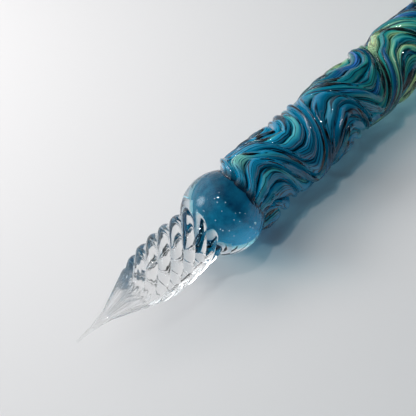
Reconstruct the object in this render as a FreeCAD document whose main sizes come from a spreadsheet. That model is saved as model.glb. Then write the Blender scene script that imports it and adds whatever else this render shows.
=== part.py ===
"""A lampworked glass dip pen, lying on its side.

One fused piece of glass, built here as the gathers and canes that a lampworker joins:
a twisted fluted nib, a cased collar bead, a handle of twisted ridge canes laid round a
coloured layer on a core rod, and a tail bead.

Millimetres, +Z up. The pen lies along X with its nib towards -X, and rests on z = 0.
The origin is at the centre of the pen's bounding box, on the surface it lies on.
Places along the pen are measured from the centre of the collar bead, towards the tail.
"""

import FreeCAD, Part
import math
import os

import Sketcher
from FreeCAD import Placement, Rotation, Vector

SIZES = [
    ("pen_length", 165.0, "tip of the nib to the end of the tail bead"),
    ("nib_reach", 27.35, "tip of the nib to the centre of the collar bead"),
    ("bead_radius", 6.1, "collar bead, over its clear casing"),
    ("bead_core_radius", 5.3, "coloured core of the collar bead"),
    ("nib_flutes", 8, "ink grooves round the nib"),
    ("nib_groove_share", 0.78, "radius at a groove's floor over radius at a rib's crest"),
    ("nib_tip_turn", 340.4, "angle about the axis of one rib's crest at the tip"),
    ("nib_straight", 8.5, "length from the tip over which the flutes run straight"),
    ("nib_twist_ease", 3.0, "length over which the flutes' twist then sets in"),
    ("nib_twist", 20.0, "degrees that the flutes turn in a millimetre from there"),
    ("ridge_radius", 6.0, "handle, over the crests of its ridges"),
    ("groove_radius", 5.35, "handle, at the floor between two ridges"),
    ("layer_radius", 4.4, "coloured layer under the ridge canes"),
    ("rod_radius", 2.4, "core rod"),
    ("fuse_gap", 0.02, "room left between one layer of glass and the next"),
    ("cane_count", 14, "ridge canes round the handle"),
    ("cane_start", 1.6, "front ends of the canes, lapping over the bead's shoulder"),
    ("zigzag_length", 9.2, "from one reversal of the twist to the next, past the grip"),
    ("twist_back", 118.0, "degrees that the canes turn back between two reversals"),
    ("twist_forward", 100.0, "degrees that they turn forward in the next stretch"),
    ("taper_start", 78.0, "where the handle starts to narrow"),
    ("tail_share", 0.5, "handle's thickness at the tail bead over that at the grip"),
    ("tail_bead_radius", 4.1, "round bead that closes the tail"),
]

# The grip's own reversals of the twist, which are less even than the rest of the handle's.
GRIP_REVERSALS = [(1.0, 40.0), (5.3, 0.0), (14.5, 100.0), (22.7, -18.0), (32.3, 78.0), (42.0, -52.0)]

# The nib's outline over its ribs: distance from the tip, radius.
NIB_OUTLINE = [
    (0.0, 0.12),
    (2.6, 0.31),
    (4.0, 0.60),
    (5.2, 0.85),
    (8.45, 2.23),
    (10.6, 3.24),
    (12.4, 3.94),
    (14.0, 4.30),
    (17.0, 4.55),
    (19.9, 4.46),
    (24.3, 4.20),
]

STATION_STEP = 0.8
TWIST_EASE = 1.7

# Where the collar bead's centre is on the pen, and the tail bead's from there.
BEAD_PLACE = "sizes.nib_reach - sizes.pen_length / 2"
TAIL_PLACE = "sizes.pen_length - sizes.nib_reach - sizes.tail_bead_radius"

# How a sketch's constraints name the points of an edge, the origin and the axis along X.
START, END, CENTRE = 1, 2, 3
ORIGIN = (-1, 1)
PEN_AXIS = -1

doc = FreeCAD.newDocument("glass_dip_pen")


def make_sheet():
    """The spreadsheet of driving dimensions, one alias to a row."""
    made = doc.addObject("Spreadsheet::Sheet", "sizes")
    for row, (alias, value, meaning) in enumerate(SIZES, start=1):
        made.set(f"A{row}", alias)
        made.set(f"B{row}", str(value))
        made.set(f"C{row}", meaning)
        made.setAlias(f"B{row}", alias)
    return made


sheet = make_sheet()
doc.recompute()


def size(alias):
    """A driving dimension, as the sheet holds it."""
    return float(getattr(sheet, alias))


CANES = int(size("cane_count"))
FLUTES = int(size("nib_flutes"))
BEAD_X = size("nib_reach") - size("pen_length") / 2
TAIL_BEAD_AT = size("pen_length") - size("nib_reach") - size("tail_bead_radius")


def lerp(low, high, share):
    """The value that far between low and high."""
    return low + (high - low) * share


def follow(points, at):
    """The value at a place on a line of (place, value) points."""
    for (start, low), (end, high) in zip(points, points[1:]):
        if at <= end:
            return lerp(low, high, (at - start) / (end - start))
    return points[-1][1]


def reversals():
    """Every reversal of the canes' twist, as (place, degrees), past the tail bead."""
    turns = list(GRIP_REVERSALS)
    forward = True
    while turns[-1][0] < TAIL_BEAD_AT:
        place, angle = turns[-1]
        change = size("twist_forward") if forward else -size("twist_back")
        turns.append((place + size("zigzag_length"), angle + change))
        forward = not forward
    return turns


def cane_turn(at, turns):
    """Degrees of twist at a place: each stretch turns fast at first and then eases off."""
    for (start, low), (end, high) in zip(turns, turns[1:]):
        if at <= end:
            share = (at - start) / (end - start)
            return lerp(low, high, 1 - (1 - share) ** TWIST_EASE)
    return turns[-1][1]


def handle_share(at):
    """The handle's thickness at a place, over its thickness at the grip."""
    start = size("taper_start")
    if at <= start:
        return 1.0
    return lerp(1.0, size("tail_share"), (at - start) / (TAIL_BEAD_AT - start))


def nib_turn(at):
    """Angle of a rib at a distance from the nib's tip: straight at first, then a steady screw."""
    ease = size("nib_twist_ease")
    past = max(0.0, at - size("nib_straight"))
    screw = past * past / (2 * ease) if past < ease else past - ease / 2
    return size("nib_tip_turn") - size("nib_twist") * screw


def stations(start, end):
    """Evenly spaced places from start to end."""
    count = round((end - start) / STATION_STEP)
    return [lerp(start, end, index / count) for index in range(count + 1)]


def around(place, radius, degrees):
    """The point at a place along X, at a radius and an angle about the X axis."""
    angle = math.radians(degrees)
    return Vector(place, radius * math.cos(angle), radius * math.sin(angle))


def swell(step):
    """How much further out a pole lies than the curve it pulls, where the poles turn by a step."""
    return 3 / (2 + math.cos(math.radians(step)))


def strip(rows):
    """A B-spline surface on rows of poles: cubic along the pen, a line or a parabola across."""
    along = len(rows)
    across = len(rows[0])
    along_ends = [4] + [1] * (along - 4) + [4]
    surface = Part.BSplineSurface()
    surface.buildFromPolesMultsKnots(
        rows,
        along_ends,
        [across, across],
        [float(knot) for knot in range(along - 2)],
        [0.0, 1.0],
        False,
        False,
        3,
        across - 1,
    )
    return surface


def twisted_solid(grids):
    """A closed solid from strips side by side round a section, with flat ends."""
    surfaces = [strip(grid) for grid in grids]
    faces = [surface.toShape() for surface in surfaces]
    for knot in (0.0, float(len(grids[0]) - 3)):
        edges = [surface.uIso(knot).toShape() for surface in surfaces]
        faces.append(Part.Face(Part.Wire(Part.__sortEdges__(edges))))
    shell = Part.makeShell(faces)
    shell.sewShape()
    solid = Part.Solid(shell)
    if solid.Volume < 0:
        solid.reverse()
    return solid


def lobe(place, floor, crest, turn, half):
    """Poles of a rounded ridge from floor to crest to floor, half an angle to each side."""
    peak = 2 * crest - floor * math.cos(math.radians(half))
    return [
        around(place, floor, turn - half),
        around(place, peak, turn),
        around(place, floor, turn + half),
    ]


def ball(place, radius):
    """A solid ball on the pen's axis, to cut seats with."""
    return Part.makeSphere(radius, Vector(place, 0, 0))


def lay_down(made, turn=0.0):
    """Places a piece modelled about the bead's centre on the lying pen, turned about its axis."""
    axis_height = size("bead_radius")
    made.Placement = Placement(Vector(BEAD_X, 0, axis_height), Rotation(Vector(1, 0, 0), turn))


def make_nib():
    """The clear nib: a cone of twisted ribs with ink grooves between them, seated on the bead."""
    half = 180 / FLUTES
    grids = [[] for _ in range(FLUTES)]
    for at in stations(0.0, NIB_OUTLINE[-1][0]):
        turn = nib_turn(at)
        crest = follow(NIB_OUTLINE, at) * swell(nib_turn(at + STATION_STEP) - turn)
        floor = crest * size("nib_groove_share")
        for flute, grid in enumerate(grids):
            middle = turn + flute * 2 * half
            grid.append(lobe(at - size("nib_reach"), floor, crest, middle, half))
    made = doc.addObject("Part::Feature", "nib")
    made.Shape = twisted_solid(grids).cut(ball(0, size("bead_radius")))
    lay_down(made)


def cane_shape():
    """One ridge cane, twisted to and fro, with a hollow seat on each bead."""
    half = 180 / CANES
    turns = reversals()
    grids = [[], [], [], []]
    for at in stations(size("cane_start"), TAIL_BEAD_AT):
        turn = cane_turn(at, turns)
        share = handle_share(at) * swell(cane_turn(at + STATION_STEP, turns) - turn)
        inner = size("layer_radius") * share
        floor = size("groove_radius") * share
        crest = size("ridge_radius") * share
        seat = inner / math.cos(math.radians(half))
        sides = [turn - half, turn + half]
        grids[0].append(lobe(at, floor, crest, turn, half))
        grids[1].append([around(at, floor, sides[1]), around(at, inner, sides[1])])
        grids[2].append([around(at, inner, sides[1]), around(at, seat, turn), around(at, inner, sides[0])])
        grids[3].append([around(at, inner, sides[0]), around(at, floor, sides[0])])
    whole = twisted_solid(grids)
    seated = whole.cut(ball(0, size("bead_radius")))
    return seated.cut(ball(TAIL_BEAD_AT, size("tail_bead_radius")))


def make_canes():
    """The ridge canes: the same twisted cane, set round the coloured layer."""
    shape = cane_shape()
    for number in range(CANES):
        made = doc.addObject("Part::Feature", f"ridge_cane_{number + 1:02d}")
        made.Shape = shape
        lay_down(made, (number + 0.5) * 360 / CANES)


def round_bead(name, radius, place):
    """A sphere on the pen's axis, its radius and place bound to the sheet."""
    made = doc.addObject("Part::Sphere", name)
    made.setExpression("Radius", radius)
    made.setExpression("Placement.Base.x", place)
    made.setExpression("Placement.Base.z", "sizes.bead_radius")
    return made


def make_collar_bead():
    """The collar bead: a coloured ball inside a clear casing."""
    round_bead("collar_bead_core", "sizes.bead_core_radius", BEAD_PLACE)
    casing = doc.addObject("Part::Cut", "collar_bead_casing")
    casing.Base = round_bead("casing_outside", "sizes.bead_radius", BEAD_PLACE)
    casing.Tool = round_bead("casing_inside", "sizes.bead_core_radius", BEAD_PLACE)


def make_tail_bead():
    """The round bead that closes the tail."""
    round_bead("tail_bead", "sizes.tail_bead_radius", f"{BEAD_PLACE} + {TAIL_PLACE}")


def join(sketch, edges):
    """Joins each edge's end to the next one's start, round a closed outline."""
    for edge, after in zip(edges, edges[1:] + edges[:1]):
        sketch.addConstraint(Sketcher.Constraint("Coincident", edge, END, after, START))


def bind(sketch, kind, *places, value):
    """A dimension of a sketch, driven by an expression on the sheet."""
    now = float(sketch.evalExpression(value))
    number = sketch.addConstraint(Sketcher.Constraint(kind, *places, now))
    sketch.setExpression(f"Constraints[{number}]", value)


def put(sketch, edge, end, along, radius):
    """Holds one end of an edge at a place along the pen and at a radius, or on its axis."""
    bind(sketch, "DistanceX", *ORIGIN, edge, end, value=along)
    if radius:
        bind(sketch, "DistanceY", *ORIGIN, edge, end, value=radius)
    else:
        sketch.addConstraint(Sketcher.Constraint("PointOnObject", edge, end, PEN_AXIS))


def seat(sketch, place, ball_radius, low, high):
    """An arc on a bead round the pen's axis, between two radii: where a layer sits on the bead."""
    centre = float(sketch.evalExpression(place))
    radius = float(sketch.evalExpression(ball_radius))
    angles = [math.asin(low / radius), math.asin(high / radius)]
    if centre > 0:
        angles = [math.pi - angles[1], math.pi - angles[0]]
    circle = Part.Circle(Vector(centre, 0, 0), Vector(0, 0, 1), radius)
    edge = sketch.addGeometry(Part.ArcOfCircle(circle, *angles))
    bind(sketch, "Radius", edge, value=ball_radius)
    if centre > 0:
        put(sketch, edge, CENTRE, place, None)
    else:
        sketch.addConstraint(Sketcher.Constraint("Coincident", edge, CENTRE, *ORIGIN))
    arc = sketch.Geometry[edge]
    return edge, arc.StartPoint, arc.EndPoint


def taper(sketch, edge, end, radius):
    """Holds one end of an edge on the slope that a layer's outline follows down to the tail."""
    top = Vector(size("taper_start"), float(sketch.evalExpression(radius)), 0)
    foot = Vector(TAIL_BEAD_AT, top.y * size("tail_share"), 0)
    slope = sketch.addGeometry(Part.LineSegment(top, foot), True)
    put(sketch, slope, START, "sizes.taper_start", radius)
    put(sketch, slope, END, TAIL_PLACE, f"({radius}) * sizes.tail_share")
    sketch.addConstraint(Sketcher.Constraint("PointOnObject", edge, end, slope))


def handle_layer(name, inner, outer):
    """A layer of the handle, turned about the pen's axis and seated on both beads."""
    body = doc.addObject("PartDesign::Body", name)
    sketch = body.newObject("Sketcher::SketchObject", f"{name}_outline")
    plane = next(item for item in body.Origin.OriginFeatures if item.Role == "XY_Plane")
    sketch.AttachmentSupport = [(plane, "")]
    sketch.MapMode = "FlatFace"

    low = float(sketch.evalExpression(inner)) if inner else 0.0
    high = float(sketch.evalExpression(outer))
    narrowed = size("tail_share")
    front, inner_front, outer_front = seat(sketch, "0", "sizes.bead_radius", low, high)
    back, outer_back, inner_back = seat(
        sketch, TAIL_PLACE, "sizes.tail_bead_radius", low * narrowed, high * narrowed
    )
    bend = size("taper_start")
    lines = [
        (outer_front, Vector(bend, high, 0)),
        (Vector(bend, high, 0), outer_back),
        (inner_back, Vector(bend, low, 0)),
        (Vector(bend, low, 0), inner_front),
    ]
    straight, sloped, sloped_back, straight_back = [
        sketch.addGeometry(Part.LineSegment(*ends)) for ends in lines
    ]
    join(sketch, [front, straight, sloped, back, sloped_back, straight_back])
    sketch.addConstraint(Sketcher.Constraint("Horizontal", straight))
    put(sketch, straight, END, "sizes.taper_start", outer)
    taper(sketch, sloped, END, outer)
    put(sketch, straight_back, START, "sizes.taper_start", inner)
    if inner:
        sketch.addConstraint(Sketcher.Constraint("Horizontal", straight_back))
        taper(sketch, sloped_back, START, inner)
    else:
        for edge, end in ((sloped_back, START), (straight_back, END)):
            sketch.addConstraint(Sketcher.Constraint("PointOnObject", edge, end, PEN_AXIS))

    turned = body.newObject("PartDesign::Revolution", f"{name}_turned")
    turned.Profile = (sketch, [""])
    turned.ReferenceAxis = (sketch, ["H_Axis"])
    turned.Angle = 360
    body.setExpression("Placement.Base.x", BEAD_PLACE)
    body.setExpression("Placement.Base.z", "sizes.bead_radius")


def make_rod_and_layer():
    """The core rod and the coloured layer over it."""
    handle_layer("core_rod", None, "sizes.rod_radius")
    handle_layer("color_layer", "sizes.rod_radius", "sizes.layer_radius - sizes.fuse_gap")


def check_document():
    """Stops the build if any object of the document failed."""
    for thing in doc.Objects:
        if "Invalid" in thing.State or "Error" in thing.State:
            raise RuntimeError(f"{thing.Label} failed: {thing.State}")


def write_parts():
    """Writes each sub-part to its own file, after checking its shape."""
    names = ["nib", "collar_bead_core", "collar_bead_casing", "core_rod", "color_layer", "tail_bead"]
    names += [f"ridge_cane_{number + 1:02d}" for number in range(CANES)]
    os.makedirs("parts", exist_ok=True)
    for name in names:
        shape = doc.getObject(name).Shape
        if shape.isNull() or not shape.isValid() or len(shape.Solids) != 1:
            raise RuntimeError(f"{name} isn't one sound solid")
        shape.exportStep(f"parts/{name}.step")
        print(f"{name}: {shape.Volume:.1f} cubic mm")


make_nib()
make_collar_bead()
make_rod_and_layer()
make_canes()
make_tail_bead()
doc.recompute()
check_document()
write_parts()
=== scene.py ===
"""The looks of a lampworked glass dip pen: clear glass outside, coloured glass inside.

The outside of the pen is one fused skin of glass, cut into the nib, the bead's casing, the
handle's ridges and the tail bead. Inside it are the bead's core, with clouds in it and seed
bubbles round it, the handle's clear rod, which is the CAD's own, and the coloured layer
round the rod, whose threads follow the twisted ridges.

Lengths in the formulas are millimetres. Places along the pen are measured from the centre
of the collar bead towards the tail. Angles are measured about the pen's axis, in degrees,
from +Y towards +Z. A strand is a line of the glass that was straight before the twisting: it
is named by its angle at that time, and twist_at() says how far it has turned at each place.
"""

import math

import bmesh
import bpy
import numpy as np
from mathutils import Matrix, Vector


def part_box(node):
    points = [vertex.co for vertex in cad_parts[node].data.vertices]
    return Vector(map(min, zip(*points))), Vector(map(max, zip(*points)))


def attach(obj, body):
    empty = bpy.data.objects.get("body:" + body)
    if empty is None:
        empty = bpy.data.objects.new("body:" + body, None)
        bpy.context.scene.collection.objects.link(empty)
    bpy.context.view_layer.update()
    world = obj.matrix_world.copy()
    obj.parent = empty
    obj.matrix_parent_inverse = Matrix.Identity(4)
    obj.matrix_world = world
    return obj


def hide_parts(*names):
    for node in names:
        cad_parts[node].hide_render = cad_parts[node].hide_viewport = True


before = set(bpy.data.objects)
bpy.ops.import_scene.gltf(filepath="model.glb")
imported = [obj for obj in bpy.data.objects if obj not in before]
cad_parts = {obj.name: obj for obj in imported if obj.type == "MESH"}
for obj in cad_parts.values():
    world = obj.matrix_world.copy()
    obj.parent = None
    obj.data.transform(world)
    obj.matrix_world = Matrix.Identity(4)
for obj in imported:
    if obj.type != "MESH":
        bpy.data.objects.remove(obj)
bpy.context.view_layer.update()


# ---------------------------------------------------------------- sizes

MM = 0.001
bead_low, bead_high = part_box("collar_bead_casing")
nib_low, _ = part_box("nib")
tail_low, tail_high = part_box("tail_bead")
BEAD_RADIUS = (bead_high.y - bead_low.y) / 2 / MM
BEAD_CENTRE = Vector((bead_high.x - BEAD_RADIUS * MM, 0, BEAD_RADIUS * MM))
TIP = (nib_low.x - BEAD_CENTRE.x) / MM
TAIL_RADIUS = (tail_high.y - tail_low.y) / 2 / MM
TAIL = (tail_high.x - BEAD_CENTRE.x) / MM - TAIL_RADIUS
CANES = sum(name.startswith("ridge_cane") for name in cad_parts)

# The nib over its ribs: distances from the tip, and radii.
NIB_OUTLINE = [
    (0.0, 0.12), (2.6, 0.31), (4.0, 0.60), (5.2, 0.85), (8.45, 2.23), (10.6, 3.24),
    (12.4, 3.94), (14.0, 4.30), (17.0, 4.55), (19.9, 4.46), (24.3, 4.20),
]
FLUTES = 8  # ribs round the nib
FLUTE_START = 8.5  # distance from the tip where the twist sets in
FLUTE_EASE = 3.0  # length over which it sets in
FLUTE_TWIST = 20.0  # degrees per millimetre
FLUTES_END = -4.0  # place where the nib's twist starts to turn into the handle's
FLUTES_END_TURN = 50.9  # degrees of twist there

# Where the handle's twist reverses near the bead, and its degrees of twist there.
GRIP_REVERSALS = [(1.0, 40.0), (5.3, 0.0), (14.5, 100.0), (22.7, -18.0), (32.3, 78.0), (42.0, -52.0)]
# Behind those it goes on to and fro, evenly.
REVERSAL_SPACING = 9.2
TURN_FORTH = 100.0
TURN_BACK = -118.0
TWIST_EASE = 1.2  # above 1, the twist is faster just behind a reversal
BEND_ROUNDING = 0.6  # 0 makes sharp bends, 1 round ones

RIDGE_RADIUS = 6.0
GROOVE_RADIUS = 4.65
WIDEST = BEAD_RADIUS - 0.04  # the ridges stay inside this, apart from the noses on top
RIDGE_SHARE = 0.86  # the ridges' usual height over their full height
HOLLOW = 0.42  # depth of the shallow hollows that wind round the handle
RIB_SHARPNESS = 0.6  # below 1, ribs are blunt and grooves are sharp
TAPER_START = 78.0  # the handle narrows from here to the tail
TAIL_SHARE = 0.5  # its thickness at the tail, over that at the grip

FIRST_CANE = -5  # canes are numbered from here, so that number 2 is on top beside the bead
NOSE_LENGTH = 1.3  # length over which a cane rises to its full height
NOSE_SWELLING = 0.22
NOSE_LAP = 0.4  # how far the noses on top of the pen lap over the bead
LUMP = 0.6  # how far the thickest nose stands out beyond that
FAR_ANGLE = 12.0  # the noses on this side begin later and rise more slowly
FAR_WIDTH = 34.0
FAR_SHIFT = 1.8
FAR_STRETCH = 1.6

COLUMNS = 336  # points round the pen
NIB_CUT = -3.6  # place where the nib's glass meets the casing
TAIL_CUT = TAIL - 3.4  # place where the ridged glass meets the tail bead
FINE_END = 48.0  # the rings of points lie closer together up to here
THINNEST = 0.01  # the least radius of a ring of points

LAYER_START = 1.9  # place of the coloured layer's front end, inside the bead
LAYER_CLOSING = 0.7  # length over which the layer's front end closes
LAYER_DEPTH = 0.60  # clear glass over the layer
LAYER_DEPTH_CHANGE = 0.16
LAYER_FINE_STEP = 0.33
LAYER_COARSE_STEP = 0.7

CORE_RADIUS = 3.95
CLOUDS_RADIUS = 3.65
CORE_PLACE = 1.1  # the core's centre, a little behind the bead's
CORE_TAIL = 1.0  # how far the core is drawn out towards the handle
CORE_COLUMNS = 96
CORE_STEP = 4  # degrees between its rings, as seen from its centre
BUBBLES = 100


# ---------------------------------------------------------------- shapes of the glass

def rises(value, low, high):
    """0 up to low, 1 from high on, and in proportion between them."""
    return np.clip((value - low) / (high - low), 0, 1)


def bell(value, middle, width):
    """A bell curve, 1 at its middle."""
    return np.exp(-((value - middle) / width) ** 2)


def quarter_round(share):
    """A rise from 0 to 1 along a quarter of a circle, steep at first."""
    return np.sqrt(1 - (1 - share) ** 2)


def smooth_max(one, other, reach):
    """The larger of two heights, with the corner between them rounded over a reach."""
    share = np.clip(0.5 + 0.5 * (one - other) / reach, 0, 1)
    return other + (one - other) * share + reach * share * (1 - share)


def cane_reversals():
    """The places where the twist reverses, and the twist in degrees there."""
    turns = list(GRIP_REVERSALS)
    change = TURN_FORTH
    while turns[-1][0] < TAIL:
        place, angle = turns[-1]
        turns.append((place + REVERSAL_SPACING, angle + change))
        change = TURN_BACK if change == TURN_FORTH else TURN_FORTH
    return turns


def cane_turn(along):
    """Degrees of twist: to and fro with rounded bends, a little faster after each bend."""
    turns = cane_reversals()
    twist = np.full_like(along, turns[0][1])
    for (start, low), (end, high) in zip(turns, turns[1:]):
        share = 1 - (1 - rises(along, start, end)) ** TWIST_EASE
        twist += (high - low) * (share - BEND_ROUNDING * np.sin(math.tau * share) / math.tau)
    return twist


def drift(along, strand):
    """How far the reversals lie behind their usual places: more on some strands than on others."""
    furthest = 1.25
    lean = 0.134  # radians per millimetre
    middle_place, middle_strand = 14.5, 26.0
    return furthest * np.sin(np.radians(strand - middle_strand) - lean * (along - middle_place))


def strand_turn(along, strand):
    """Degrees of twist of the handle's strands, which also wander a little sideways."""
    turned = np.radians(strand)
    wander = 5.0 * np.sin(2 * turned + 0.75 * along) + 4.0 * np.sin(3 * turned - 1.1 * along + 1.0)
    return cane_turn(along - drift(along, strand)) + wander * rises(along, 0.0, 3.0)


def nib_turn(along):
    """Degrees of twist of the nib's flutes: straight near the tip, then a steady screw."""
    at = np.clip(along - TIP - FLUTE_START, 0, None)
    screw = np.where(at < FLUTE_EASE, at * at / (2 * FLUTE_EASE), at - FLUTE_EASE / 2)
    return -FLUTE_TWIST * screw


def twist_at(along, strand):
    """Degrees of twist of the glass's strands: the nib's, then the handle's."""
    flutes = FLUTES_END_TURN + nib_turn(along) - nib_turn(FLUTES_END)
    start = strand_turn(0.0, strand)
    bead = FLUTES_END_TURN + (start - FLUTES_END_TURN) * (1 - along / FLUTES_END)
    handle = strand_turn(along, strand)
    return np.where(along < FLUTES_END, flutes, np.where(along < 0, bead, handle))


def rib(position, sharpness):
    """A rib's height over its groove, from 0 to 1, for a position counted in ribs."""
    across = 2 * (position - np.floor(position)) - 1
    return (1 - np.abs(across) ** 2.2) ** sharpness


def nib_radius(along, strand):
    """The nib over its ribs and in its grooves, with fine lines near the tip."""
    from_tip = along - TIP
    crest = np.interp(from_tip, *zip(*NIB_OUTLINE))
    depth = 0.14 + 0.12 * rises(from_tip, 7.0, 13.0)
    line_depth = 0.045
    lines = (1 - rises(from_tip, 8.0, 12.0)) * np.cos(np.radians(3 * FLUTES * strand))
    groove = 1 - rib(strand * FLUTES / 360, RIB_SHARPNESS)
    return crest * (1 + line_depth * (lines - 1) - depth * groove)


def bead_radius(along, radius, centre=0.0):
    """A round bead about the pen's axis."""
    return np.sqrt(np.maximum(radius**2 - (along - centre) ** 2, 0))


def handle_share(along):
    """The handle's thickness over its thickness at the grip."""
    return 1 - (1 - TAIL_SHARE) * rises(along, TAPER_START, TAIL)


def nose_place(number):
    """Where a cane's nose begins: nearest the nib on top of the pen, further back below."""
    on_top = 0.8 + 0.42 * (number - 2.2) ** 2
    below = 3.0 + 0.5 * np.sin(2.4 * number)
    return np.minimum(on_top, below)


def nose_lap(along, angle):
    """How far the noses stand out over the bead: only on its upper half, and most at one lump."""
    on_top = np.clip(1.6 * np.sin(np.radians(angle)), 0, 1)
    lump = bell(angle, 68.0, 32.0) * bell(along, 3.6, 2.0)
    return NOSE_LAP * on_top + LUMP * lump


def unevenness(along, strand):
    """Slow changes of the ridges' height, such as handwork leaves."""
    turned = np.radians(strand)
    return 0.12 * np.sin(3 * turned + 0.55 * along) + 0.10 * np.sin(5 * turned - 0.8 * along)


def handle_radius(along, strand):
    """The handle over its ridges and in the grooves between them, with a swollen nose on each ridge."""
    position = strand * CANES / 360
    number = (np.floor(position) - FIRST_CANE) % CANES + FIRST_CANE
    angle = (strand + strand_turn(along, strand) + 180) % 360 - 180
    far_side = bell(angle, FAR_ANGLE, FAR_WIDTH)
    nose_start = nose_place(number) + FAR_SHIFT * far_side
    nose_end = nose_start + NOSE_LENGTH + FAR_STRETCH * far_side
    groove = 0.45 + 0.55 * rises(along, 2.0, 5.5)
    ridge = 1 - groove * (1 - rib(position, RIB_SHARPNESS))
    height = ridge * quarter_round(rises(along, nose_start, nose_end))

    lap = nose_lap(along, angle)
    swollen = (NOSE_SWELLING + lap) * bell(along, nose_start + 1.4, 1.6)
    relief = (RIDGE_RADIUS - GROOVE_RADIUS) * (RIDGE_SHARE + unevenness(along, strand)) + swollen
    hollow = HOLLOW * np.sin(np.radians(strand) / 2 + 0.34 * along) ** 4 * rises(along, 6.0, 9.0)
    return np.minimum(GROOVE_RADIUS + relief * height - hollow, WIDEST + lap) * handle_share(along)


def layer_radius(along, strand):
    """The coloured layer: it follows the ridges above it, under more or less clear glass."""
    turned = np.radians(strand)
    waves = np.sin(2 * turned + 0.31 * along + 1.0) + np.sin(3 * turned - 0.23 * along)
    depth = LAYER_DEPTH + LAYER_DEPTH_CHANGE * waves
    return handle_radius(along, strand) - depth * handle_share(along)


def skin_radius(along, strand):
    """The outside of the whole pen, with the corners between its parts rounded."""
    bead = bead_radius(along, BEAD_RADIUS)
    tail = bead_radius(along, TAIL_RADIUS, TAIL)
    front = smooth_max(nib_radius(along, strand), bead, 0.3)
    back = smooth_max(handle_radius(along, strand), np.maximum(bead, tail), 0.25)
    return np.where(along < 0, front, np.where(along < TAIL, back, tail))


def core_outline(radius):
    """Places and radii of the bead's core: a ball, drawn out a little towards the handle."""
    outline = []
    for step in range(CORE_STEP, 180, CORE_STEP):
        angle = math.radians(step)
        reach = radius if math.cos(angle) > 0 else radius + CORE_TAIL
        outline.append((CORE_PLACE - reach * math.cos(angle), radius * math.sin(angle)))
    return outline


# ---------------------------------------------------------------- meshes

def round_the_pen(columns):
    """Strands spread evenly round the pen, as a row."""
    return (np.arange(columns) * 360 / columns)[None, :]


def grid_points(along, angles, radius):
    """Points on rings round the pen's axis, in metres in the pen's frame."""
    turned = np.radians(angles)
    parts = np.broadcast_arrays(along, radius * np.cos(turned), radius * np.sin(turned))
    return np.stack(parts, axis=-1) * MM + np.array(BEAD_CENTRE)


def strand_places(along, strand):
    """Where each point lies in the untwisted glass, in millimetres, for the threads' pattern."""
    turned = np.radians(strand)
    parts = np.broadcast_arrays(RIDGE_RADIUS * np.cos(turned), RIDGE_RADIUS * np.sin(turned), along)
    return np.stack(parts, axis=-1)


def grid_normals(points):
    """Outward normals of a grid of points that closes round its second axis."""
    lengthwise = np.gradient(points, axis=0)
    around = np.roll(points, -1, axis=1) - np.roll(points, 1, axis=1)
    normals = np.cross(around, lengthwise)
    return normals / np.maximum(np.linalg.norm(normals, axis=-1, keepdims=True), 1e-12)


def ring_faces(rings, columns):
    """Quads between neighbouring rings of points, all the way round."""
    ring, column = np.meshgrid(np.arange(rings - 1), np.arange(columns), indexing="ij")
    after = (column + 1) % columns
    quads = np.stack([
        ring * columns + column, ring * columns + after,
        (ring + 1) * columns + after, (ring + 1) * columns + column,
    ], axis=-1)
    return quads.reshape(-1, 4).tolist()


def close_ring(faces, grids, ring, columns, way):
    """Closes a ring with a fan round its middle, which faces the nib (way -1) or the tail (way 1)."""
    points, normals, strands = grids
    start = ring * columns
    for column in range(columns):
        pair = [start + column, start + (column + 1) % columns]
        faces.append([len(points)] + pair[::way])
    members = slice(start, start + columns)
    return (
        np.vstack([points, points[members].mean(axis=0)]),
        np.vstack([normals, [way, 0, 0]]),
        np.vstack([strands, strands[members].mean(axis=0)]),
    )


def add_object(name, mesh):
    """An object in the scene that rides with the pen."""
    made = bpy.data.objects.new(name, mesh)
    bpy.context.scene.collection.objects.link(made)
    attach(made, "root")
    return made


def grid_piece(name, points, normals, strands, close_start, close_end):
    """A piece of the pen from a grid of points, open at its ends or closed."""
    rings, columns = points.shape[:2]
    faces = ring_faces(rings, columns)
    grids = [grid.reshape(-1, 3) for grid in (points, normals, strands)]
    if close_start:
        grids = close_ring(faces, grids, 0, columns, -1)
    if close_end:
        grids = close_ring(faces, grids, rings - 1, columns, 1)
    points, normals, strands = grids
    mesh = bpy.data.meshes.new(name)
    mesh.from_pydata(points.tolist(), [], faces)
    mesh.polygons.foreach_set("use_smooth", [True] * len(mesh.polygons))
    mesh.normals_split_custom_set_from_vertices(normals.tolist())
    attribute = mesh.attributes.new("strand", "FLOAT_VECTOR", "POINT")
    attribute.data.foreach_set("vector", strands.astype(np.float32).ravel())
    mesh.update()
    return add_object(name, mesh)


def skin_rings():
    """Places of the skin's rings of points, closer together where the glass has more detail."""
    runs = [
        (TIP, NIB_CUT, 0.16), (NIB_CUT, 0.0, 0.15), (0.0, 6.0, 0.2), (6.0, FINE_END, 0.33),
        (FINE_END, TAIL_CUT, 0.7), (TAIL_CUT, TAIL + TAIL_RADIUS, 0.25),
    ]
    rings = [
        np.linspace(start, end, round((end - start) / step), endpoint=False) for start, end, step in runs
    ]
    return np.concatenate(rings + [[TAIL + TAIL_RADIUS]])[:, None]


def skin_pieces():
    """The fused glass outside, cut into the nib, the casing, the ridges and the tail bead.

    Neighbouring pieces share the ring where they meet, and are open there.
    """
    along = skin_rings()
    strand = round_the_pen(COLUMNS)
    radius = np.maximum(skin_radius(along, strand), THINNEST)
    points = grid_points(along, strand + twist_at(along, strand), radius)
    grids = (points, grid_normals(points), strand_places(along, strand))
    cuts = [
        ("nib_glass", TIP, NIB_CUT), ("bead_casing", NIB_CUT, 0.0), ("ridged_glass", 0.0, TAIL_CUT),
        ("tail_glass", TAIL_CUT, TAIL + TAIL_RADIUS),
    ]
    slack = 1e-6
    made = []
    for name, start, end in cuts:
        rows = np.flatnonzero((along[:, 0] > start - slack) & (along[:, 0] < end + slack))
        parts = [grid[rows] for grid in grids]
        made.append(grid_piece(name, *parts, name == "nib_glass", name == "tail_glass"))
    return made


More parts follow.
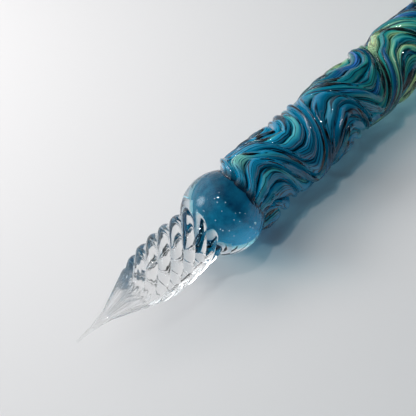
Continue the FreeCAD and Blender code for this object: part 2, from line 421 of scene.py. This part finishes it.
def layer_piece():
    """The handle's coloured layer, from inside the bead to the tail bead."""
    fine = np.arange(LAYER_START, FINE_END, LAYER_FINE_STEP)
    coarse = np.arange(FINE_END, TAIL - 2, LAYER_COARSE_STEP)
    along = np.concatenate([fine, coarse])[:, None]
    strand = round_the_pen(COLUMNS)
    closing = quarter_round(rises(along, LAYER_START, LAYER_START + LAYER_CLOSING))
    radius = layer_radius(along, strand) * closing + 2 * THINNEST
    points = grid_points(along, strand + strand_turn(along, strand), radius)
    return grid_piece("colour_layer", points, grid_normals(points), strand_places(along, strand), True, True)


def core_piece(name, radius):
    """A closed drop of glass in the bead, turned about the pen's axis."""
    places, radii = np.array(core_outline(radius)).T
    along = places[:, None]
    strand = round_the_pen(CORE_COLUMNS)
    points = grid_points(along, strand, radii[:, None])
    return grid_piece(name, points, grid_normals(points), strand_places(along, strand), True, True)


def bubble_piece():
    """Seed bubbles: specks of trapped air in the clear glass between the bead's core and its outside."""
    chance = np.random.default_rng(7)
    made = bmesh.new()
    for _ in range(BUBBLES):
        way = chance.normal(size=3)
        way /= np.linalg.norm(way)
        depth = chance.uniform(0.5, 1.9)
        size = chance.uniform(0.035, 0.085) * (1.0 + 0.8 * (chance.random() > 0.85))
        place = BEAD_CENTRE + Vector(way * (BEAD_RADIUS - depth)) * MM
        bmesh.ops.create_icosphere(made, subdivisions=2, radius=size * MM, matrix=Matrix.Translation(place))
    for face in made.faces:
        face.smooth = True
    mesh = bpy.data.meshes.new("seed_bubbles")
    made.to_mesh(mesh)
    made.free()
    return add_object("seed_bubbles", mesh)


# ---------------------------------------------------------------- nodes of the materials

def linear(red, green, blue):
    """A colour given as it looks on a screen, 0 to 255, as the shader's linear light."""
    shown = [channel / 255 for channel in (red, green, blue)]
    return [c / 12.92 if c <= 0.04045 else ((c + 0.055) / 1.055) ** 2.4 for c in shown] + [1.0]


def node(tree, kind, inputs=None, **settings):
    """A new node. An input is given a value, a socket to link, or a function of the tree that makes one."""
    made = tree.nodes.new(kind)
    for name, value in settings.items():
        setattr(made, name, value)
    for key, value in (inputs or {}).items():
        if callable(value):
            value = value(tree)
        if isinstance(value, bpy.types.NodeSocket):
            tree.links.new(value, made.inputs[key])
        else:
            made.inputs[key].default_value = value
    return made


def new_material(name):
    """A new material with an empty tree."""
    made = bpy.data.materials.new(name)
    made.use_nodes = True
    made.node_tree.nodes.clear()
    return made


def mix_shaders(tree, share, one, other):
    """One shader, giving way to another by a share from 0 to 1."""
    return node(tree, "ShaderNodeMixShader", {"Fac": share, 1: one, 2: other}).outputs["Shader"]


def transparent(tree, colour=(1, 1, 1, 1)):
    """A shader that lets rays straight through, tinted."""
    return node(tree, "ShaderNodeBsdfTransparent", {"Color": colour}).outputs["BSDF"]


def maths(tree, operation, *values):
    """The result of a sum on numbers or sockets."""
    return node(tree, "ShaderNodeMath", dict(enumerate(values)), operation=operation).outputs[0]


def blend(tree, share, one, other):
    """One colour, giving way to another by a share from 0 to 1."""
    inputs = {"Factor": share, "A": one, "B": other}
    return node(tree, "ShaderNodeMix", inputs, data_type="RGBA").outputs["Result"]


def smooth_rise(tree, value, low, high):
    """0 up to low, 1 from high on, and smooth between them."""
    inputs = {"Value": value, "From Min": low, "From Max": high}
    return node(tree, "ShaderNodeMapRange", inputs, interpolation_type="SMOOTHSTEP").outputs["Result"]


def ramp(tree, value, stops):
    """A colour for each value, blended between stops of a position and a screen colour."""
    made = node(tree, "ShaderNodeValToRGB", {"Fac": value})
    elements = made.color_ramp.elements
    while len(elements) < len(stops):
        elements.new(0.5)
    for element, (position, colour) in zip(elements, stops):
        element.position = position
        element.color = linear(*colour)
    return made.outputs["Color"]


def strand_place(tree):
    """Where the shaded point lies in the untwisted glass, in millimetres."""
    return node(tree, "ShaderNodeAttribute", attribute_name="strand").outputs["Vector"]


def strand_noise(tree, scale, detail, stretch, offset):
    """Clouds drawn out along the strands, from 0 to 1."""
    inputs = {"Vector": strand_place, "Scale": (1, 1, stretch), "Location": (offset, 0, 0)}
    drawn_out = node(tree, "ShaderNodeMapping", inputs).outputs["Vector"]
    inputs = {"Vector": drawn_out, "Scale": scale, "Detail": detail}
    return node(tree, "ShaderNodeTexNoise", inputs).outputs["Fac"]


def along_pen(start, first, end, last):
    """A function that makes a colour: the first up to start, and the last from end on."""
    def colour(tree):
        along = node(tree, "ShaderNodeSeparateXYZ", {"Vector": strand_place}).outputs["Z"]
        return blend(tree, smooth_rise(tree, along, start, end), first, last)
    return colour


# ---------------------------------------------------------------- materials

CLEAR = (0.995, 1.0, 0.998, 1)
GLASS_IOR = 1.5


def ripples(tree):
    """Normals for the waves that the flame leaves in the glass, lengthwise on the ridges."""
    waves = strand_noise(tree, 1.6, 1.0, 0.25, 0.0)
    inputs = {"Height": waves, "Strength": 0.8, "Distance": 0.15 * MM}
    return node(tree, "ShaderNodeBump", inputs).outputs["Normal"]


def glass_material(name, tint, ior, shadow, thin=None, normal=None):
    """Clear glass. Light on its way through goes straight on, tinted by the shadow's colour.

    The shadow and thin are a colour or a function that makes one. Thin is the share of the
    glass that doesn't bend what is seen through it.
    """
    made = new_material(name)
    tree = made.node_tree
    inputs = {"Base Color": tint, "Transmission Weight": 1.0, "Roughness": 0.0, "IOR": ior}
    if normal is not None:
        inputs["Normal"] = normal
    surface = node(tree, "ShaderNodeBsdfPrincipled", inputs).outputs["BSDF"]
    if thin is not None:
        surface = mix_shaders(tree, thin, surface, transparent(tree))
    through = transparent(tree, shadow)
    path = node(tree, "ShaderNodeLightPath")
    for ray in ("Is Diffuse Ray", "Is Shadow Ray"):
        surface = mix_shaders(tree, path.outputs[ray], surface, through)
    node(tree, "ShaderNodeOutputMaterial", {"Surface": surface})
    return made


def absorb(material, colour, density):
    """Makes the inside of a piece take up light, more of it the deeper the glass."""
    tree = material.node_tree
    volume = node(tree, "ShaderNodeVolumeAbsorption", {"Color": colour, "Density": density})
    tree.links.new(volume.outputs["Volume"], tree.nodes["Material Output"].inputs["Volume"])


def cloudy_glass(name, colours, glowing, clear, shadow):
    """Cloudy coloured glass. A share of it glows with the light from behind, and a share is clear."""
    made = new_material(name)
    tree = made.node_tree
    colour = colours(tree)
    inputs = {"Base Color": colour, "Roughness": 1.0, "Specular IOR Level": 0.0}
    surface = node(tree, "ShaderNodeBsdfPrincipled", inputs).outputs["BSDF"]
    glow = node(tree, "ShaderNodeBsdfTranslucent", {"Color": colour}).outputs["BSDF"]
    surface = mix_shaders(tree, glowing, surface, glow)
    surface = mix_shaders(tree, clear, surface, transparent(tree))
    path = node(tree, "ShaderNodeLightPath")
    surface = mix_shaders(tree, path.outputs["Is Shadow Ray"], surface, transparent(tree, shadow))
    node(tree, "ShaderNodeOutputMaterial", {"Surface": surface})
    return made


def plain_material(name, colour, roughness, specular):
    """An opaque material of one colour."""
    made = new_material(name)
    tree = made.node_tree
    inputs = {"Base Color": colour, "Roughness": roughness, "Specular IOR Level": specular}
    surface = node(tree, "ShaderNodeBsdfPrincipled", inputs).outputs["BSDF"]
    node(tree, "ShaderNodeOutputMaterial", {"Surface": surface})
    return made


def core_colours(tree):
    """Soft clouds of deep blue in the bead, made paler on the lower front side, away from the window, as a
    painted glow for the light that the bead gathers there.
    """
    glow_side_painted = (-0.15, -0.80, -0.58)
    place = node(tree, "ShaderNodeTexCoord").outputs["Object"]
    inputs = {"Vector": place, "Scale": 330.0, "Detail": 8, "Roughness": 0.68}
    clouds = node(tree, "ShaderNodeTexNoise", inputs).outputs["Fac"]
    inputs = {0: place, 1: BEAD_CENTRE}
    offset = node(tree, "ShaderNodeVectorMath", inputs, operation="SUBTRACT").outputs["Vector"]
    inputs = {0: offset, 1: glow_side_painted}
    side = node(tree, "ShaderNodeVectorMath", inputs, operation="DOT_PRODUCT").outputs["Value"]
    radius = BEAD_RADIUS * MM
    # painted light: the colour turns paler towards the side away from the window
    inputs = {"Value": side, "From Min": 0.3 * radius, "From Max": 0.7 * radius, "To Max": 0.36}
    painted_glow_share = node(tree, "ShaderNodeMapRange", inputs).outputs["Result"]
    return ramp(tree, maths(tree, "ADD", clouds, painted_glow_share), [(0.34, (0, 108, 152)), (0.70, (72, 224, 248))])


def glass_colours(tree, along):
    """Blue and teal clouds at the grip that turn into blue, green and yellow ones behind it."""
    clouds = strand_noise(tree, 0.42, 2.0, 0.10, 0.0)
    near = ramp(tree, clouds, [
        (0.30, (10, 104, 114)),
        (0.38, (0, 130, 168)),
        (0.48, (10, 154, 200)),
        (0.60, (34, 170, 210)),
        (0.68, (84, 204, 206)),
        (0.76, (190, 244, 208)),
    ])
    far = ramp(tree, clouds, [
        (0.30, (56, 128, 210)),
        (0.38, (0, 100, 146)),
        (0.44, (0, 128, 142)),
        (0.50, (50, 168, 158)),
        (0.56, (150, 212, 160)),
        (0.63, (232, 240, 170)),
    ])
    uneven_place = maths(tree, "MULTIPLY_ADD", strand_noise(tree, 0.3, 1.0, 0.2, 9.0), 22.0, along)
    return blend(tree, smooth_rise(tree, uneven_place, 30.0, 46.0), near, far)


def thread_colours(tree):
    """Threads of blue, teal and green glass with thin dark lines between them, painted shade along the
    grooves and painted shade at the layer's front end.
    """
    pale_patch = (2.6, 5.4, 5.6)  # the middle of a pale spot in the untwisted glass
    # painted shade: the layer's front end is painted dark, for the shade under the ridges' noses
    shade_cap_start, shade_cap_end = 2.2, 2.9  # the layer's front end is dark
    place = strand_place(tree)
    split = node(tree, "ShaderNodeSeparateXYZ", {"Vector": place})
    along = split.outputs["Z"]
    angle = maths(tree, "ARCTAN2", split.outputs["Y"], split.outputs["X"])
    turn = maths(tree, "MULTIPLY", angle, 1 / math.tau)

    def gated(share, gate, low, high):
        """A share that shows only where the gate is high."""
        return maths(tree, "MULTIPLY", share, smooth_rise(tree, gate, low, high))

    def near_zero(value, low, high):
        """1 up to low, 0 from high on, and smooth between them."""
        return maths(tree, "SUBTRACT", 1.0, smooth_rise(tree, value, low, high))

    wander = maths(tree, "MULTIPLY", strand_noise(tree, 0.55, 1.0, 0.10, 4.0), 10.0)
    fine = maths(tree, "PINGPONG", maths(tree, "MULTIPLY_ADD", turn, 5.0 * CANES, wander), 0.5)
    groove = maths(tree, "PINGPONG", maths(tree, "MULTIPLY", turn, CANES), 0.5)
    dark_gate = strand_noise(tree, 0.9, 1.0, 0.08, 2.0)
    light_gate = strand_noise(tree, 0.8, 1.0, 0.10, 12.0)
    groove_gate = strand_noise(tree, 0.7, 1.0, 0.12, 7.0)
    fine_dark = gated(near_zero(fine, 0.05, 0.22), dark_gate, 0.26, 0.44)
    fine_light = gated(smooth_rise(tree, fine, 0.34, 0.50), light_gate, 0.48, 0.62)
    # painted shade: near-black lines along the grooves between the ridges
    groove_shade = gated(near_zero(groove, 0.05, 0.19), groove_gate, 0.28, 0.42)

    colour = glass_colours(tree, along)
    colour = blend(tree, maths(tree, "MULTIPLY", fine_dark, 0.92), colour, linear(0, 36, 58))
    colour = blend(tree, maths(tree, "MULTIPLY", fine_light, 0.5), colour, linear(96, 200, 220))
    # painted shade in the grooves
    colour = blend(tree, groove_shade, colour, linear(0, 22, 30))
    apart = node(tree, "ShaderNodeVectorMath", {0: place, 1: pale_patch}, operation="DISTANCE")
    pale = gated(near_zero(apart.outputs["Value"], 0.6, 2.4), fine, 0.05, 0.3)
    colour = blend(tree, pale, colour, linear(150, 226, 206))
    # painted shade: dark colour at the layer's front end, under the noses
    return blend(tree, smooth_rise(tree, along, shade_cap_start, shade_cap_end), linear(0, 44, 66), colour)


# ---------------------------------------------------------------- the pen

def make_skin():
    """The fused outside of the pen, in place of the CAD's nib, casing, canes and tail bead."""
    nib_shadow = along_pen(-11.0, (0.92, 0.925, 0.93, 1), -4.0, (0.62, 0.68, 0.71, 1))
    nib_thin = along_pen(TIP + 7.0, (0.40, 0.40, 0.40, 1), TIP + 13.0, (0.0, 0.0, 0.0, 1))
    ridge_shadow = along_pen(22.0, (0.57, 0.71, 0.75, 1), 40.0, (0.76, 0.86, 0.88, 1))
    nib_clear = glass_material("nib_glass", (0.998, 1.0, 0.999, 1), 1.42, nib_shadow, thin=nib_thin)
    casing_clear = glass_material("casing_glass", CLEAR, GLASS_IOR, (0.70, 0.77, 0.79, 1))
    ridge_clear = glass_material("ridge_glass", CLEAR, GLASS_IOR, ridge_shadow, normal=ripples)
    tail_blue = glass_material("tail_glass", (0.22, 0.66, 0.84, 1), GLASS_IOR, (0.45, 0.72, 0.80, 1))
    nib_piece, casing_piece, ridge_piece, tail_piece = skin_pieces()
    for piece, material, material_slot in (
        (nib_piece, nib_clear, "clear_glass"), (casing_piece, casing_clear, "clear_glass"),
        (ridge_piece, ridge_clear, "ridge_glass"), (tail_piece, tail_blue, "blue_glass"),
    ):
        piece.data.materials.append(material)
    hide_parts("nib")
    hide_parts("collar_bead_casing")
    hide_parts(*[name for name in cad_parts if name.startswith("ridge_cane")])
    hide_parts("tail_bead")


def make_core():
    """The bead's blue core, in place of the CAD's, with clouds in it and bubbles round it."""
    core = core_piece("bead_core", CORE_RADIUS)
    blue = glass_material("blue_glass", (1, 1, 1, 1), 1.0, (0.84, 0.88, 0.90, 1))
    absorb(blue, (0.0, 0.76, 0.87, 1), 470.0)
    core.data.materials.append(blue)
    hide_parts("collar_bead_core")

    clouds = core_piece("core_clouds", CLOUDS_RADIUS)
    cloudy = cloudy_glass("blue_clouds", core_colours, 0.85, 0.34, (0.78, 0.86, 0.89, 1))
    clouds.data.materials.append(cloudy)

    bubbles = bubble_piece()
    # painted glint: the bubbles' pale opaque colour stands in for the light that sparkles in them
    bubbles.data.materials.append(plain_material("trapped_air_glint", (0.50, 0.84, 0.95, 1), 0.15, 0.5))


def make_handle():
    """The coloured layer, in place of the CAD's, and a clear material for the CAD's core rod."""
    layer = layer_piece()
    layer_shadow = along_pen(22.0, (0.38, 0.62, 0.70, 1), 44.0, (0.66, 0.84, 0.88, 1))
    layer.data.materials.append(cloudy_glass("threads", thread_colours, 0.3, 0.0, layer_shadow))
    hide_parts("color_layer")

    rod_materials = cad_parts["core_rod"].data.materials
    rod_materials.clear()
    rod_materials.append(glass_material("clear_glass", CLEAR, GLASS_IOR, (0.90, 0.91, 0.915, 1)))


# ---------------------------------------------------------------- floor, light and camera

WARM = (1.0, 0.93, 0.90)
COOL = (0.84, 0.97, 1.0)
WHITE = (1.0, 1.0, 1.0)


def make_floor():
    """A wide pale table top under the pen."""
    reach = 6.0
    corners = [(-reach, -reach, 0), (reach, -reach, 0), (reach, reach, 0), (-reach, reach, 0)]
    mesh = bpy.data.meshes.new("floor")
    mesh.from_pydata(corners, [], [(0, 1, 2, 3)])
    mesh.materials.append(plain_material("table_top", (0.715, 0.712, 0.724, 1), 0.9, 0.1))
    floor = bpy.data.objects.new("floor", mesh)
    bpy.context.scene.collection.objects.link(floor)


def add_lamp(name, offset, width, power, colour, mirrored):
    """A soft round lamp that faces the bead, at an offset from it in metres, mirrored in glass or not."""
    data = bpy.data.lights.new(name, "AREA")
    data.shape = "DISK"
    data.size = width
    data.energy = power
    data.color = colour
    lamp = bpy.data.objects.new(name, data)
    lamp.location = BEAD_CENTRE + Vector(offset)
    lamp.visible_glossy = mirrored
    lamp.visible_transmission = mirrored
    lamp.rotation_euler = (-Vector(offset)).to_track_quat("-Z", "Y").to_euler()
    bpy.context.scene.collection.objects.link(lamp)


def make_lamps():
    """Two warm lamps at the window, a cool one overhead and a small second glint."""
    add_lamp("key", (-0.046, 0.110, 0.090), 0.045, 0.097, WARM, mirrored=False)
    add_lamp("fill", (-0.005, 0.084, 0.122), 0.06, 0.057, WARM, mirrored=False)
    add_lamp("overhead", (-0.040, 0.100, 0.5), 0.030, 0.49, COOL, mirrored=True)
    add_lamp("second_glint", (-0.11, 0.17, 0.45), 0.03, 0.07, WHITE, mirrored=True)


def make_world():
    """A pale room, brighter towards the horizon, with a soft glow and a small bright window towards +Y."""
    glow = ((-0.28, 0.85, 0.45), 0.38, 0.85)
    window = ((-0.47, 0.72, 0.51), 0.965, 5.5)
    faintest = 0.02  # what each of the two adds all over the sky
    world = bpy.data.worlds.new("room")
    world.use_nodes = True
    tree = world.node_tree
    way = node(tree, "ShaderNodeTexCoord").outputs["Generated"]
    height = node(tree, "ShaderNodeSeparateXYZ", {"Vector": way}).outputs["Z"]
    inputs = {"Value": height, "From Min": 0.05, "From Max": 0.50, "To Min": 0.55, "To Max": 0.0}
    total = node(tree, "ShaderNodeMapRange", inputs, interpolation_type="SMOOTHSTEP").outputs["Result"]
    for towards, start, brightness in (glow, window):
        facing = node(tree, "ShaderNodeVectorMath", {0: way, 1: towards}, operation="DOT_PRODUCT")
        inputs = {
            "Value": facing.outputs["Value"], "From Min": start, "From Max": 1.0,
            "To Min": faintest, "To Max": brightness,
        }
        light = node(tree, "ShaderNodeMapRange", inputs, interpolation_type="SMOOTHSTEP").outputs["Result"]
        total = maths(tree, "ADD", total, light)
    background = tree.nodes["Background"]
    background.inputs["Color"].default_value = (0.92, 0.98, 1.0, 1)
    tree.links.new(total, background.inputs["Strength"])
    bpy.context.scene.world = world


def make_camera():
    """A camera that looks down along the pen from its nib, with the bead near the middle."""
    azimuth = math.radians(-46.9)
    elevation = math.radians(54.6)
    distance = 106.4
    bead_offset = (2.13, -0.64)  # of the bead from the middle of the picture, rightwards and upwards
    back = Vector((
        math.sin(azimuth) * math.cos(elevation),
        -math.cos(azimuth) * math.cos(elevation),
        math.sin(elevation),
    ))
    right = Vector((math.cos(azimuth), math.sin(azimuth), 0))
    up = back.cross(right)
    data = bpy.data.cameras.new("camera")
    data.sensor_width = 36.0
    data.lens = 64.9
    data.clip_start = 0.005
    camera = bpy.data.objects.new("camera", data)
    centre = BEAD_CENTRE - (right * bead_offset[0] + up * bead_offset[1]) * MM
    turn = Matrix((right, up, back)).transposed().to_4x4()
    camera.matrix_world = Matrix.Translation(centre + back * distance * MM) @ turn
    bpy.context.scene.collection.objects.link(camera)
    bpy.context.scene.camera = camera


def set_light_paths():
    """Enough bounces for glass inside glass, no caustics, and colours shown without a film look."""
    bpy.context.scene.view_settings.view_transform = "Standard"
    cycles = bpy.context.scene.cycles
    cycles.caustics_refractive = False
    cycles.caustics_reflective = False
    cycles.max_bounces = 40
    cycles.transmission_bounces = 40
    cycles.glossy_bounces = 12
    cycles.transparent_max_bounces = 40


make_skin()
make_core()
make_handle()
make_floor()
make_world()
make_lamps()
make_camera()
set_light_paths()
